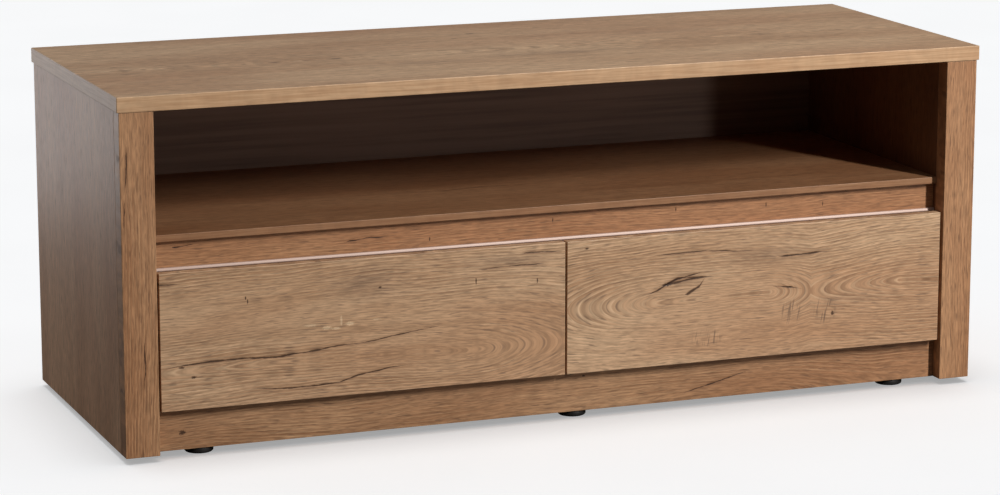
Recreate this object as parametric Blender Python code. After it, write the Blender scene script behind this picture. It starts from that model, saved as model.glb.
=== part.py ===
"""Low media cabinet: one open compartment over two inset drawers on roller runners.

Frame: metres, +Z up, the front faces -Y. The origin is on the floor, under the middle of the
cabinet. Depths named *_RECESS and *_BACK are measured back from the front edge of the top.
"""
import math

import bmesh
import bpy
from mathutils import Vector

# ------------------------------------------------------------------ driving dimensions
GAP = 0.0003                   # left between pieces that touch
WIDTH = 1.350                  # top panel
DEPTH = 0.500
HEIGHT = 0.527
TOP_THICK = 0.022
FOOT_HEIGHT = 0.009
FOOT_RADIUS = 0.021
TOP_OVERHANG = 0.003           # past the outer sides
FRONT_OVERHANG = 0.002         # past the stiles and the rear edges
BOARD = 0.016                  # carcass and front boards
BOARD_ARRIS = 0.0004           # softened edges: plain boards
EDGE_ARRIS = 0.0006            # the boards' visible front edges
STILE_ARRIS = 0.0008
TOP_ARRIS = 0.001
STILE_WIDTH = 0.050
STILE_DEPTH = 0.028
SHELF_RECESS = 0.026
SHELF_THICK = 0.010
MEDIA_HEIGHT = 0.182           # clear height of the open compartment
RAIL_RECESS = 0.037
RAIL_HEIGHT = 0.066
PLINTH_RECESS = 0.024
BACK_PANEL_BACK = 0.475        # front face of the back panel
BACK_PANEL_THICK = 0.003
BASE_RAIL_DEPTH = 0.030
REAR_RAIL_HEIGHT = 0.060
SPACER_HEIGHT = 0.040
PLINTH_HEIGHT = 0.060
FRONT_RECESS = 0.005
FRONT_HEIGHT = 0.200
FRONT_LOW_GAP = 0.0025         # between the plinth and the fronts
FRONT_SIDE_GAP = 0.004
FRONT_CENTRE_GAP = 0.0034
CHANNEL_DROP = 0.018           # of the finger channel below the fronts' upper edges
CHANNEL_RISE = 0.0025          # above them
CHANNEL_CLEARANCE = 0.0012     # behind the fronts
CHANNEL_SHEET = 0.0014
CHANNEL_LIP = 0.004            # height of the front lip
CHANNEL_BEAD = 0.005           # depth and height of the rounded upper edge
CHANNEL_ROUND = 0.0012         # its softened corners
FOOT_X = (-0.553, 0.026, 0.556)
FOOT_FRONT_BACK = 0.046        # centre of the front feet
FOOT_REAR_BACK = 0.452
FOOT_ARRIS = 0.0012
DRAWER_SIDE = 0.012            # thickness of the drawer sides and back
DRAWER_DEPTH = 0.400
DRAWER_WALL = 0.150            # height of the drawer sides
DRAWER_BOTTOM_THICK = 0.003
GROOVE_HEIGHT = 0.010          # of the bottom panel's groove above the drawer's lower edge
GROOVE_DEPTH = 0.006
RUNNER_SPACE = 0.0125          # between a drawer side and the cabinet wall
RUNNER_LENGTH = 0.400
RUNNER_FRONT_BACK = 0.042      # front end of the cabinet runners
RUNNER_RISE = 0.013            # cabinet runners above the bottom panel
RUNNER_HEIGHT = 0.024
RUNNER_FLANGE = 0.010          # reach of the flanges from the cabinet wall
TRACK_RISE = 0.0201            # drawer runner's track above the cabinet runner's underside
TRACK_OUTER = 0.003            # its outer edge from the cabinet wall
DRAWER_RUNNER_SETBACK = 0.003  # front end behind the drawer front
DRAWER_RISE = 0.005            # drawer sides above the cabinet runners' underside
STEEL = 0.0012                 # runner sheet
ROLLER_RADIUS = 0.009
ROLLER_WIDTH = 0.006
PIN_RADIUS = 0.003
BORE_RADIUS = 0.0033
PIN_HEAD = 0.001
PIN_HEAD_RADIUS = 0.0045
FRONT_PIN_TIP = 0.0099         # pin ends from the cabinet wall
REAR_PIN_TIP = 0.0021
ROLLER_ARRIS = 0.0006
ROLLER_PLAY = 0.0006           # roller to the pin's head
ROLLER_STANDOFF = 0.0009       # roller to the cabinet runner's web
ROLLER_INSET = 0.014           # pin to the end of its runner
FRONT_ROLLER_RISE = 0.0108     # pin centres above the cabinet runner's underside
REAR_ROLLER_RISE = 0.0105
CAM_RADIUS = 0.0075
CAM_DEPTH = 0.010
CAM_BACK = 0.034               # cam centre behind the drawer front
CAM_HEIGHT = 0.100             # cam centre above the drawer's lower edge
CAM_FACE = 0.0004              # cam face below the board's face
CAM_RECESS = 0.003             # depth and radius of the conical screwdriver recess
CAM_RECESS_RADIUS = 0.0032
CUTTER_REACH = 0.001           # cutters start this far outside the board
ROUND_STEPS = 24
CAM_STEPS = 20
PIN_STEPS = 16
BEVEL_ANGLE = math.radians(40)
SHARP_ANGLE = math.radians(35)

# ------------------------------------------------------------------ derived places
FRONT_Y = -DEPTH / 2
REAR_Y = DEPTH / 2 - FRONT_OVERHANG
TOP_LOW = HEIGHT - TOP_THICK
OUTER_X = WIDTH / 2 - TOP_OVERHANG
INNER_X = OUTER_X - STILE_WIDTH
SHELF_TOP = TOP_LOW - MEDIA_HEIGHT
SHELF_LOW = SHELF_TOP - SHELF_THICK
PLINTH_TOP = FOOT_HEIGHT + PLINTH_HEIGHT
FRONT_BOTTOM = PLINTH_TOP + FRONT_LOW_GAP
FRONT_TOP = FRONT_BOTTOM + FRONT_HEIGHT
BACK_Y = FRONT_Y + BACK_PANEL_BACK
STILE_BACK_Y = FRONT_Y + FRONT_OVERHANG + STILE_DEPTH
DRAWER_FRONT_BACK_Y = FRONT_Y + FRONT_RECESS + BOARD
RUNNER_LOW = PLINTH_TOP + RUNNER_RISE
DRAWER_LOW = RUNNER_LOW + DRAWER_RISE
FRONT_ROLLER_Z = RUNNER_LOW + FRONT_ROLLER_RISE
REAR_ROLLER_Z = RUNNER_LOW + REAR_ROLLER_RISE

COLOURS = {
    "oak": ((0.33, 0.20, 0.115), 0.55, 0.0),
    "oak_front": ((0.38, 0.24, 0.14), 0.55, 0.0),
    "drawer_board": ((0.30, 0.27, 0.24), 0.6, 0.0),
    "raw_board": ((0.35, 0.25, 0.16), 0.8, 0.0),
    "back_board": ((0.22, 0.16, 0.12), 0.7, 0.0),
    "aluminium": ((0.75, 0.72, 0.70), 0.3, 1.0),
    "runner_steel": ((0.70, 0.70, 0.69), 0.4, 0.3),
    "nylon": ((0.80, 0.79, 0.75), 0.45, 0.0),
    "black_plastic": ((0.015, 0.015, 0.016), 0.5, 0.0),
    "zinc": ((0.55, 0.56, 0.57), 0.35, 1.0),
}


def clear_scene():
    """Start from an empty scene."""
    for item in list(bpy.data.objects):
        bpy.data.objects.remove(item, do_unlink=True)


def make_material(name, kind):
    """Principled material of one sub-part."""
    colour, roughness, metallic = COLOURS[kind]
    material = bpy.data.materials.new(name + "_" + kind)
    material.use_nodes = True
    shader = material.node_tree.nodes["Principled BSDF"]
    shader.inputs["Base Color"].default_value = (*colour, 1.0)
    shader.inputs["Roughness"].default_value = roughness
    shader.inputs["Metallic"].default_value = metallic
    material.diffuse_color = (*colour, 1.0)
    return material


def finish(name, bm, kind, origin=(0, 0, 0), parent=None, smooth=False):
    """Turn a world-space bmesh into the object `name`, with its origin at `origin`."""
    bmesh.ops.recalc_face_normals(bm, faces=bm.faces)
    bmesh.ops.translate(bm, verts=bm.verts, vec=-Vector(origin))
    mesh = bpy.data.meshes.new(name)
    bm.to_mesh(mesh)
    bm.free()
    if smooth:
        mesh.shade_smooth()
        mesh.set_sharp_from_angle(angle=SHARP_ANGLE)
    obj = bpy.data.objects.new(name, mesh)
    bpy.context.scene.collection.objects.link(obj)
    obj.location = origin
    if parent:
        obj.parent = parent
        obj.location = Vector(origin) - parent.location
    mesh.materials.append(make_material(name, kind))
    return obj


def bevel(obj, width, segments=1):
    """Round the long edges with a Bevel modifier."""
    mod = obj.modifiers.new("arris", "BEVEL")
    mod.width = width
    mod.segments = segments
    mod.limit_method = "ANGLE"
    mod.angle_limit = BEVEL_ANGLE


def prism(name, outline, axis, start, end, kind, parent=None, origin=(0, 0, 0)):
    """Extrude a closed outline along `axis` (0, 1 or 2 for X, Y or Z) from `start` to `end`.

    The outline's pairs are the two other coordinates, in X, Y, Z order.
    """
    bm = bmesh.new()
    corners = []
    for a, b in outline:
        point = [a, b]
        point.insert(axis, start)
        corners.append(bm.verts.new(point))
    face = bm.faces.new(corners)
    result = bmesh.ops.extrude_face_region(bm, geom=[face])
    moved = [item for item in result["geom"] if isinstance(item, bmesh.types.BMVert)]
    shift = [0, 0, 0]
    shift[axis] = end - start
    bmesh.ops.translate(bm, verts=moved, vec=shift)
    return finish(name, bm, kind, origin, parent)


def board(name, xs, ys, zs, kind, arris=BOARD_ARRIS, segments=1, parent=None, origin=(0, 0, 0)):
    """Rectangular board between two corners, with softened edges."""
    outline = [(xs[0], ys[0]), (xs[1], ys[0]), (xs[1], ys[1]), (xs[0], ys[1])]
    obj = prism(name, outline, 2, zs[0], zs[1], kind, parent, origin)
    if arris:
        bevel(obj, arris, segments)
    return obj


def turned(name, profile, axis, centre, kind, steps=ROUND_STEPS, parent=None):
    """Turn a closed (radius, along) profile about X or Z through `centre`."""
    bm = bmesh.new()
    rings = []
    for step in range(steps):
        angle = 2 * math.pi * step / steps
        ring = []
        for radius, along in profile:
            side = radius * math.cos(angle)
            up = radius * math.sin(angle)
            offset = Vector((along, side, up)) if axis == "X" else Vector((side, up, along))
            ring.append(bm.verts.new(Vector(centre) + offset))
        rings.append(ring)
    for step in range(steps):
        ring, after = rings[step], rings[(step + 1) % steps]
        for k in range(len(profile)):
            j = (k + 1) % len(profile)
            bm.faces.new((ring[k], ring[j], after[j], after[k]))
    bmesh.ops.remove_doubles(bm, verts=bm.verts, dist=0.000001)
    return finish(name, bm, kind, centre, parent, smooth=True)


def boolean(obj, tool, operation):
    """Apply `tool` to `obj`; the tool itself is only a guide."""
    tool.hide_render = True
    tool.display_type = "WIRE"
    mod = obj.modifiers.new(operation.lower(), "BOOLEAN")
    mod.object = tool
    mod.operation = operation
    mod.solver = "EXACT"


def joint_frame(name, place):
    """Empty on a joint's axis that carries the moving pieces."""
    empty = bpy.data.objects.new(name, None)
    empty.location = place
    bpy.context.scene.collection.objects.link(empty)
    return empty


# ------------------------------------------------------------------ carcass
def mirrored_range(low, high, side):
    """X range of a piece at `low` to `high` from the middle, on the left (-1) or right (1)."""
    return (low, high) if side > 0 else (-high, -low)


def build_sides():
    """Each side: a front stile, and two boards held apart by spacers behind it."""
    low, high = FOOT_HEIGHT, TOP_LOW - GAP
    behind = STILE_BACK_Y + GAP
    for label, side in (("left", -1), ("right", 1)):
        stile_x = mirrored_range(INNER_X, OUTER_X, side)
        stile_y = (FRONT_Y + FRONT_OVERHANG, STILE_BACK_Y)
        board(label + "_front_stile", stile_x, stile_y, (low, high), "oak", STILE_ARRIS, 2)
        outer = mirrored_range(OUTER_X - BOARD, OUTER_X, side)
        board(label + "_outer_side", outer, (behind, REAR_Y), (low, high), "oak")
        inner = mirrored_range(INNER_X, INNER_X + BOARD, side)
        board(label + "_inner_side", inner, (behind, BACK_Y - GAP), (low, high), "oak")
        middle = mirrored_range(INNER_X + BOARD + GAP, OUTER_X - BOARD - GAP, side)
        between = (behind, BACK_Y - GAP)
        board(label + "_top_spacer", middle, between, (high - SPACER_HEIGHT, high), "raw_board")
        board(label + "_bottom_spacer", middle, between, (low, low + SPACER_HEIGHT), "raw_board")
        strip = mirrored_range(INNER_X, OUTER_X - BOARD - GAP, side)
        strip_y = (BACK_Y + BACK_PANEL_THICK + GAP, REAR_Y)
        board(label + "_rear_strip", strip, strip_y, (low, high), "oak")


def build_carcass():
    """Top, shelf, rail, plinth, divider, bottom, back and the rails that carry them."""
    span = (GAP - INNER_X, INNER_X - GAP)
    before_back = BACK_Y - GAP
    half = WIDTH / 2
    board("top_panel", (-half, half), (FRONT_Y, DEPTH / 2), (TOP_LOW, HEIGHT), "oak", TOP_ARRIS, 2)
    shelf_y = (FRONT_Y + SHELF_RECESS, before_back)
    board("media_shelf", span, shelf_y, (SHELF_LOW, SHELF_TOP), "oak", EDGE_ARRIS, 2)
    rail_y = (FRONT_Y + RAIL_RECESS, FRONT_Y + RAIL_RECESS + BOARD)
    rail_z = (SHELF_LOW - GAP - RAIL_HEIGHT, SHELF_LOW - GAP)
    board("front_rail", span, rail_y, rail_z, "oak")
    plinth_y = (FRONT_Y + PLINTH_RECESS, FRONT_Y + PLINTH_RECESS + BOARD)
    board("plinth", span, plinth_y, (FOOT_HEIGHT, PLINTH_TOP), "oak", EDGE_ARRIS, 2)
    behind_plinth = plinth_y[1] + GAP
    bottom_z = (PLINTH_TOP - BOARD, PLINTH_TOP)
    board("bottom_panel", span, (behind_plinth, before_back), bottom_z, "oak")
    base_z = (FOOT_HEIGHT, bottom_z[0] - GAP)
    front_base_y = (behind_plinth, behind_plinth + BASE_RAIL_DEPTH)
    board("front_base_rail", span, front_base_y, base_z, "raw_board")
    rear_base_y = (before_back - BASE_RAIL_DEPTH, before_back)
    board("rear_base_rail", span, rear_base_y, base_z, "raw_board")
    divider_y = (rail_y[1] + GAP, before_back)
    divider_z = (PLINTH_TOP + GAP, SHELF_LOW - GAP)
    board("centre_divider", (-BOARD / 2, BOARD / 2), divider_y, divider_z, "oak")
    panel_half = INNER_X + BOARD
    panel_y = (BACK_Y, BACK_Y + BACK_PANEL_THICK)
    panel_z = (FOOT_HEIGHT + GAP, TOP_LOW - GAP)
    board("back_panel", (-panel_half, panel_half), panel_y, panel_z, "back_board", 0)
    rear_y = (panel_y[1] + GAP, panel_y[1] + GAP + BOARD)
    board("rear_top_rail", span, rear_y, (panel_z[1] - REAR_RAIL_HEIGHT, panel_z[1]), "oak")


def build_finger_channel():
    """Aluminium channel on the rail: the finger gap behind both fronts' upper edges."""
    back = FRONT_Y + RAIL_RECESS - GAP
    lip = DRAWER_FRONT_BACK_Y + CHANNEL_CLEARANCE
    low = FRONT_TOP - CHANNEL_DROP
    top = FRONT_TOP + CHANNEL_RISE
    web = back - CHANNEL_SHEET
    bead = back - CHANNEL_BEAD
    outline = [
        (lip, low),
        (back, low),
        (back, top),
        (bead + CHANNEL_ROUND, top),
        (bead, top - CHANNEL_ROUND),
        (bead, top - CHANNEL_BEAD + CHANNEL_ROUND),
        (bead + CHANNEL_ROUND, top - CHANNEL_BEAD),
        (web, top - CHANNEL_BEAD),
        (web, low + CHANNEL_SHEET),
        (lip + CHANNEL_SHEET, low + CHANNEL_SHEET),
        (lip + CHANNEL_SHEET, low + CHANNEL_LIP),
        (lip, low + CHANNEL_LIP),
    ]
    prism("finger_channel", outline, 0, GAP - INNER_X, INNER_X - GAP, "aluminium")


def build_feet():
    """Six round glides, three under the front rail and three under the rear one."""
    top = FOOT_HEIGHT - GAP
    profile = [
        (0, 0),
        (FOOT_RADIUS - FOOT_ARRIS, 0),
        (FOOT_RADIUS, FOOT_ARRIS),
        (FOOT_RADIUS, top),
        (0, top),
    ]
    for row, back in (("front", FOOT_FRONT_BACK), ("rear", FOOT_REAR_BACK)):
        for label, x in zip(("left", "middle", "right"), FOOT_X):
            name = label + "_" + row + "_foot"
            turned(name, profile, "Z", (x, FRONT_Y + back, 0), "black_plastic")


# ------------------------------------------------------------------ runners and rollers
def pin(name, wall, side, reach, y, z, tip):
    """Roller pin with its head; `reach` and `tip` are distances from the cabinet wall."""
    inner = tip - math.copysign(PIN_HEAD, tip - reach)
    profile = [(0, reach), (PIN_RADIUS, reach), (PIN_RADIUS, inner), (PIN_HEAD_RADIUS, inner)]
    profile += [(PIN_HEAD_RADIUS, tip), (0, tip)]
    profile = [(radius, along * side) for radius, along in profile]
    return turned(name, profile, "X", (wall, y, z), "runner_steel", PIN_STEPS)


def roller(name, wall, side, first, y, z, parent=None):
    """Nylon roller that starts `first` from the cabinet wall, on its own axis."""
    half = ROLLER_WIDTH / 2
    profile = [
        (BORE_RADIUS, -half),
        (ROLLER_RADIUS - ROLLER_ARRIS, -half),
        (ROLLER_RADIUS, ROLLER_ARRIS - half),
        (ROLLER_RADIUS, half - ROLLER_ARRIS),
        (ROLLER_RADIUS - ROLLER_ARRIS, half),
        (BORE_RADIUS, half),
    ]
    centre = (wall + side * (first + half), y, z)
    turned(name, profile, "X", centre, "nylon", ROUND_STEPS, parent)


def cabinet_runner(prefix, wall, side):
    """Channel on the cabinet wall with the front roller. `side` points to the drawer."""
    low, high = RUNNER_LOW, RUNNER_LOW + RUNNER_HEIGHT
    web = GAP + STEEL
    section = [
        (GAP, low),
        (RUNNER_FLANGE, low),
        (RUNNER_FLANGE, low + STEEL),
        (web, low + STEEL),
        (web, high - STEEL),
        (RUNNER_FLANGE, high - STEEL),
        (RUNNER_FLANGE, high),
        (GAP, high),
    ]
    section = [(wall + side * u, z) for u, z in section]
    start = FRONT_Y + RUNNER_FRONT_BACK
    runner = prism(prefix + "_cabinet_runner", section, 1, start, start + RUNNER_LENGTH,
                   "runner_steel")
    y = start + ROLLER_INSET
    front_pin = pin(prefix + "_front_pin", wall, side, GAP + STEEL / 2, y, FRONT_ROLLER_Z,
                    FRONT_PIN_TIP)
    boolean(runner, front_pin, "UNION")
    roller(prefix + "_front_roller", wall, side, web + ROLLER_STANDOFF, y, FRONT_ROLLER_Z)


def drawer_runner(prefix, wall, side, parent):
    """Angle under the drawer side, with an outward track and the rear roller."""
    low = DRAWER_LOW - GAP - STEEL
    track = RUNNER_LOW + TRACK_RISE
    web = RUNNER_SPACE - GAP - STEEL
    section = [
        (web, low),
        (RUNNER_SPACE + DRAWER_SIDE, low),
        (RUNNER_SPACE + DRAWER_SIDE, low + STEEL),
        (RUNNER_SPACE - GAP, low + STEEL),
        (RUNNER_SPACE - GAP, track + STEEL),
        (TRACK_OUTER, track + STEEL),
        (TRACK_OUTER, track),
        (web, track),
    ]
    section = [(wall + side * u, z) for u, z in section]
    start = DRAWER_FRONT_BACK_Y + DRAWER_RUNNER_SETBACK
    end = DRAWER_FRONT_BACK_Y + DRAWER_DEPTH
    runner = prism(prefix + "_drawer_runner", section, 1, start, end, "runner_steel", parent,
                   parent.location)
    y = end - ROLLER_INSET
    rear_pin = pin(prefix + "_rear_pin", wall, side, web + STEEL / 2, y, REAR_ROLLER_Z,
                   REAR_PIN_TIP)
    boolean(runner, rear_pin, "UNION")
    first = REAR_PIN_TIP + PIN_HEAD + ROLLER_PLAY
    roller(prefix + "_rear_roller", wall, side, first, y, REAR_ROLLER_Z, parent)


# ------------------------------------------------------------------ drawers
def drawer_front(label, xs, parent):
    """Front board with the bottom panel's groove along its back."""
    near, far = FRONT_Y + FRONT_RECESS, DRAWER_FRONT_BACK_Y
    groove = DRAWER_LOW + GROOVE_HEIGHT
    outline = [
        (near, FRONT_BOTTOM),
        (far, FRONT_BOTTOM),
        (far, groove - GAP),
        (far - GROOVE_DEPTH, groove - GAP),
        (far - GROOVE_DEPTH, groove + DRAWER_BOTTOM_THICK + GAP),
        (far, groove + DRAWER_BOTTOM_THICK + GAP),
        (far, FRONT_TOP),
        (near, FRONT_TOP),
    ]
    front = prism(label + "_front", outline, 0, xs[0], xs[1], "oak_front", parent,
                  parent.location)
    bevel(front, EDGE_ARRIS, 2)


def drawer_side(name, wall, side, parent):
    """Drawer side with the bottom's groove inside and a cam pocket outside."""
    outer = wall + side * RUNNER_SPACE
    inner = outer + side * DRAWER_SIDE
    slot = inner - side * GROOVE_DEPTH
    groove = DRAWER_LOW + GROOVE_HEIGHT
    top = DRAWER_LOW + DRAWER_WALL
    outline = [
        (outer, DRAWER_LOW),
        (inner, DRAWER_LOW),
        (inner, groove - GAP),
        (slot, groove - GAP),
        (slot, groove + DRAWER_BOTTOM_THICK + GAP),
        (inner, groove + DRAWER_BOTTOM_THICK + GAP),
        (inner, top),
        (outer, top),
    ]
    start = DRAWER_FRONT_BACK_Y + GAP
    obj = prism(name, outline, 1, start, DRAWER_FRONT_BACK_Y + DRAWER_DEPTH, "drawer_board",
                parent, parent.location)
    y = DRAWER_FRONT_BACK_Y + CAM_BACK
    z = DRAWER_LOW + CAM_HEIGHT
    pocket = [
        (0, -CUTTER_REACH),
        (CAM_RADIUS, -CUTTER_REACH),
        (CAM_RADIUS, CAM_DEPTH),
        (0, CAM_DEPTH),
    ]
    pocket = [(radius, along * side) for radius, along in pocket]
    cutter = turned(name + "_cam_cutter", pocket, "X", (outer, y, z), "zinc", CAM_STEPS)
    boolean(obj, cutter, "DIFFERENCE")
    cam = [
        (0, CAM_RECESS),
        (CAM_RECESS_RADIUS, CAM_FACE),
        (CAM_RADIUS - GAP, CAM_FACE),
        (CAM_RADIUS - GAP, CAM_DEPTH - GAP),
        (0, CAM_DEPTH - GAP),
    ]
    cam = [(radius, along * side) for radius, along in cam]
    turned(name + "_cam_lock", cam, "X", (outer, y, z), "zinc", CAM_STEPS, parent)


def build_drawer(label, wall_x, xs):
    """One drawer between the walls `wall_x` = (left, right), its front spanning `xs`."""
    place = ((xs[0] + xs[1]) / 2, FRONT_Y + FRONT_RECESS, (FRONT_BOTTOM + FRONT_TOP) / 2)
    parent = joint_frame(label + "_slide", place)
    drawer_front(label, xs, parent)
    for hand, wall, side in (("left", wall_x[0], 1), ("right", wall_x[1], -1)):
        drawer_side(label + "_" + hand + "_side", wall, side, parent)
        cabinet_runner(label + "_" + hand, wall, side)
        drawer_runner(label + "_" + hand, wall, side, parent)
    inner = (wall_x[0] + RUNNER_SPACE + DRAWER_SIDE, wall_x[1] - RUNNER_SPACE - DRAWER_SIDE)
    end = DRAWER_FRONT_BACK_Y + DRAWER_DEPTH
    groove = DRAWER_LOW + GROOVE_HEIGHT
    floor = groove + DRAWER_BOTTOM_THICK
    reach = GROOVE_DEPTH - 2 * GAP
    board(label + "_bottom", (inner[0] - reach, inner[1] + reach),
          (DRAWER_FRONT_BACK_Y - reach, end - GAP), (groove, floor), "back_board", 0, 1, parent,
          parent.location)
    board(label + "_back", (inner[0] + GAP, inner[1] - GAP), (end - DRAWER_SIDE, end),
          (floor + GAP, DRAWER_LOW + DRAWER_WALL), "drawer_board", BOARD_ARRIS, 1, parent,
          parent.location)


def build():
    """Build the whole cabinet."""
    clear_scene()
    build_sides()
    build_carcass()
    build_finger_channel()
    build_feet()
    edge = INNER_X - FRONT_SIDE_GAP
    middle = FRONT_CENTRE_GAP / 2
    build_drawer("left_drawer", (-INNER_X, -BOARD / 2), (-edge, -middle))
    build_drawer("right_drawer", (BOARD / 2, INNER_X), (middle, edge))


build()
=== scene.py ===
import math

import bmesh
import bpy
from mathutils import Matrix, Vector


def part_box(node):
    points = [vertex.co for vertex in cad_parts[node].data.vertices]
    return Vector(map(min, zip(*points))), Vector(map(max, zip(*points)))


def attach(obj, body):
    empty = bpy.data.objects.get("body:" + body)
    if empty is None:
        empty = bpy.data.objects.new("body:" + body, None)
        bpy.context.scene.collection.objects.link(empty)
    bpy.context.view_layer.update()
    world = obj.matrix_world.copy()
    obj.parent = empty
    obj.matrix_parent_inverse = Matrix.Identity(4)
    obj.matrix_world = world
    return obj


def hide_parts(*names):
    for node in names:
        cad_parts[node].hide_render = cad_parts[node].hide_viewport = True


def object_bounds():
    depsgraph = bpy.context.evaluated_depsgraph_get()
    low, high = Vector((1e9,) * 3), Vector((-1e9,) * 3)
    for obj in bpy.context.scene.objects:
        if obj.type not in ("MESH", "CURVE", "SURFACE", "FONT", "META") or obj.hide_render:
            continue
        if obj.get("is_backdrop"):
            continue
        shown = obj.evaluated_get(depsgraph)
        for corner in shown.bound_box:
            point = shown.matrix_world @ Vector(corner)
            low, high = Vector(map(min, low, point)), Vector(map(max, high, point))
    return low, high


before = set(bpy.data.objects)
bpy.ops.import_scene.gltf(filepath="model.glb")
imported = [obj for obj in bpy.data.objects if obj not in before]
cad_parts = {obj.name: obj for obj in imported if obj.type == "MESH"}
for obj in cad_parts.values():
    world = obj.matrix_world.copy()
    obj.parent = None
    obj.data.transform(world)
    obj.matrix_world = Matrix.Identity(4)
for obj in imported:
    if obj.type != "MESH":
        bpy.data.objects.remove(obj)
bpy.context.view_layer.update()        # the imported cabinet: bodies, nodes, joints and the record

# ------------------------------------------------------------------ camera
CAMERA_PLACE = Vector((-1.874, -4.828, 1.305))
CAMERA_YAW = math.radians(21.11)       # turned from +Y towards +X
CAMERA_PITCH = math.radians(11.88)     # looking down
LENS = 124.07                           # millimetres on a 36 mm sensor

camera_data = bpy.data.cameras.new("camera")
camera_data.lens = LENS
camera_data.sensor_width = 36.0
camera_data.clip_end = 100.0
camera = bpy.data.objects.new("camera", camera_data)
bpy.context.scene.collection.objects.link(camera)
camera.location = CAMERA_PLACE
camera.rotation_euler = (math.pi / 2 - CAMERA_PITCH, 0.0, -CAMERA_YAW)
bpy.context.scene.camera = camera
bpy.context.scene.view_settings.view_transform = "Standard"


# ------------------------------------------------------------------ shader helper
def srgb(red, green, blue):
    """Linear colour from 0-255 screen values."""
    out = []
    for value in (red, green, blue):
        share = value / 255.0
        out.append(share / 12.92 if share <= 0.04045 else ((share + 0.055) / 1.055) ** 2.4)
    return (*out, 1.0)


class Graph:
    """A material's node tree, written as expressions on sockets."""

    def __init__(self, name):
        self.material = bpy.data.materials.new(name)
        self.material.use_nodes = True
        self.tree = self.material.node_tree
        self.tree.nodes.clear()

    def node(self, kind, **settings):
        made = self.tree.nodes.new(kind)
        for key, value in settings.items():
            setattr(made, key, value)
        return made

    def plug(self, socket, value):
        """Link a socket into `socket`, or set it to a number, vector or colour."""
        if isinstance(value, bpy.types.NodeSocket):
            self.tree.links.new(value, socket)
        else:
            socket.default_value = value

    def math(self, operation, *values, clamp=False):
        made = self.node("ShaderNodeMath", operation=operation, use_clamp=clamp)
        for socket, value in zip(made.inputs, values):
            self.plug(socket, value)
        return made.outputs[0]

    def add(self, *values):
        total = values[0]
        for value in values[1:]:
            total = self.math("ADD", total, value)
        return total

    def times(self, *values):
        total = values[0]
        for value in values[1:]:
            total = self.math("MULTIPLY", total, value)
        return total

    def vector(self, x, y, z):
        made = self.node("ShaderNodeCombineXYZ")
        for socket, value in zip(made.inputs, (x, y, z)):
            self.plug(socket, value)
        return made.outputs[0]

    def split(self, vector):
        made = self.node("ShaderNodeSeparateXYZ")
        self.plug(made.inputs[0], vector)
        return made.outputs[0], made.outputs[1], made.outputs[2]

    def noise(self, vector, scale=1.0, detail=2.0, rough=0.5, distortion=0.0):
        made = self.node("ShaderNodeTexNoise", noise_dimensions="3D")
        self.plug(made.inputs["Vector"], vector)
        made.inputs["Scale"].default_value = scale
        made.inputs["Detail"].default_value = detail
        made.inputs["Roughness"].default_value = rough
        made.inputs["Distortion"].default_value = distortion
        return made.outputs["Fac"]

    def ramp(self, value, low, high, smooth=True):
        """0 at `low` to 1 at `high`, held outside; `low` may be the larger."""
        made = self.node("ShaderNodeMapRange", clamp=True)
        made.interpolation_type = "SMOOTHSTEP" if smooth else "LINEAR"
        self.plug(made.inputs["Value"], value)
        made.inputs["From Min"].default_value = low
        made.inputs["From Max"].default_value = high
        return made.outputs["Result"]

    def mix(self, factor, first, second, blend="MIX"):
        made = self.node("ShaderNodeMix", data_type="RGBA", blend_type=blend)
        self.plug(made.inputs[0], factor)
        self.plug(made.inputs[6], first)
        self.plug(made.inputs[7], second)
        return made.outputs[2]

    def coords(self):
        return self.split(self.node("ShaderNodeTexCoord").outputs["Object"])

    def normals(self):
        return self.split(self.node("ShaderNodeTexCoord").outputs["Normal"])

    def bump(self, height, distance, strength=1.0):
        made = self.node("ShaderNodeBump")
        made.inputs["Strength"].default_value = strength
        made.inputs["Distance"].default_value = distance
        self.plug(made.inputs["Height"], height)
        return made.outputs["Normal"]

    def shade(self, colour, roughness, normal=None, **fixed):
        """End the tree in one Principled shader; `fixed` are its constant inputs."""
        shader = self.node("ShaderNodeBsdfPrincipled")
        self.plug(shader.inputs["Base Color"], colour)
        self.plug(shader.inputs["Roughness"], roughness)
        if normal is not None:
            self.plug(shader.inputs["Normal"], normal)
        for key, value in fixed.items():
            shader.inputs[key.replace("_", " ")].default_value = value
        out = self.node("ShaderNodeOutputMaterial")
        self.tree.links.new(shader.outputs[0], out.inputs["Surface"])
        return self.material


# ------------------------------------------------------------------ oak decor
OAK_LIGHT = srgb(214, 181, 148)
OAK_MID = srgb(192, 155, 122)
OAK_DARK = srgb(142, 104, 74)
OAK_ROSE = srgb(188, 142, 108)
OAK_CRACK = srgb(54, 30, 16)
OAK_GREY = srgb(128, 104, 86)
OAK_PALE = srgb(226, 198, 164)
RING_SPACING = 0.0045                  # metres between growth rings


def centred(g, value):
    return g.math("SUBTRACT", value, 0.5)


def track(g, u, points):
    """Value of a line through (u, value) points, level before the first and past the last."""
    total = points[0][1]
    for (start, low), (end, high) in zip(points, points[1:]):
        total = g.add(total, g.times(g.ramp(u, start, end, False), high - low))
    return total


def reach(g, u, v, centre, size):
    """Distance from `centre` as a share of the half lengths `size` along u and v."""
    du = g.math("DIVIDE", g.math("SUBTRACT", u, centre[0]), size[0])
    dv = g.math("DIVIDE", g.math("SUBTRACT", v, centre[1]), size[1])
    return g.math("SQRT", g.add(g.times(du, du), g.times(dv, dv)))


def window(g, u, v, centre, size):
    """Soft elliptical patch: 1 at its centre, 0 past `size`."""
    return g.ramp(reach(g, u, v, centre, size), 1.0, 0.0)


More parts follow.
